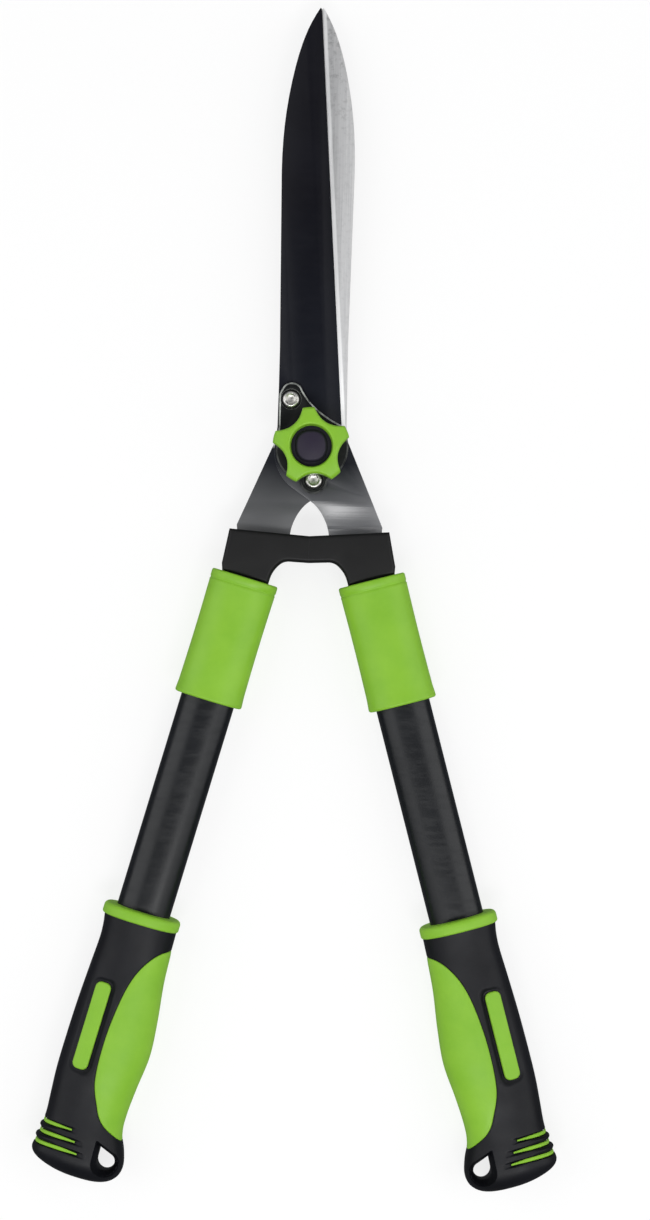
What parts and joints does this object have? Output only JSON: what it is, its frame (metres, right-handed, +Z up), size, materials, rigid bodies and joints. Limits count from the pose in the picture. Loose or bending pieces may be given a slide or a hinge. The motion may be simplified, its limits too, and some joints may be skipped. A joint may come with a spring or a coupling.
{
  "type": "hedge shears",
  "caption": "Hand hedge shears: straight black blades with ground inner faces, star tension knob, oval tube handles, green sleeves and moulded grips with hanging holes.",
  "frame": {"origin": "on the surface the shears lie on, under the middle of their overall box", "axes": "+Y towards the blade tips, +Z up out of the knob side, +X towards the right handle, closed"},
  "size_m": [0.2668, 0.6004, 0.0356],
  "materials": {
    "coated_blade": "black baked coating, ground steel inner face",
    "ground_blade": "ground steel inner face, black coated back",
    "plated_steel": "zinc plated",
    "bushing_brass": "plain turned",
    "plate_paint": "satin black paint",
    "green_plastic": "satin moulded",
    "cap_plastic": "satin moulded",
    "collar_nylon": "fine grain, moulded",
    "bumper_rubber": "matte",
    "tube_paint": "semi-gloss black powder coat",
    "grip_rubber": "matte soft-touch",
    "green_rubber": "matte soft-touch"
  },
  "bodies": {
    "left_half": {"rear_blade": "ground_blade", "pivot_bolt": "plated_steel", "thrust_washer": "plated_steel", "spring_washer": "plated_steel", "left_collar": "collar_nylon", "left_bumper": "bumper_rubber", "left_sleeve": "green_plastic", "left_tube": "tube_paint", "left_tang_pins": "plated_steel", "left_grip_body": "grip_rubber", "left_grip_flange": "green_rubber", "left_palm_pad": "green_rubber", "left_grip_strips": "green_rubber", "left_rib_bands": "green_rubber"},
    "right_half": {"front_blade": "coated_blade", "pivot_bushing": "bushing_brass", "locking_plate": "plate_paint", "plate_screws": "plated_steel", "right_collar": "collar_nylon", "right_bumper": "bumper_rubber", "right_sleeve": "green_plastic", "right_tube": "tube_paint", "right_tang_pins": "plated_steel", "right_grip_body": "grip_rubber", "right_grip_flange": "green_rubber", "right_palm_pad": "green_rubber", "right_grip_strips": "green_rubber", "right_rib_bands": "green_rubber"},
    "knob": {"adjusting_knob": "green_plastic", "knob_nut": "plated_steel", "knob_cap": "cap_plastic"}
  },
  "joints": [
    {"name": "blade_pivot", "type": "hinge", "parent": "left_half", "child": "right_half", "pos_m": [0, 0.0757, 0.016], "axis": [0, 0, 1], "range_deg": [0, 55]},
    {"name": "knob_spin", "type": "hinge", "parent": "left_half", "child": "knob", "pos_m": [0, 0.0757, 0.016], "axis": [0, 0, 1], "continuous": true}
  ]
}
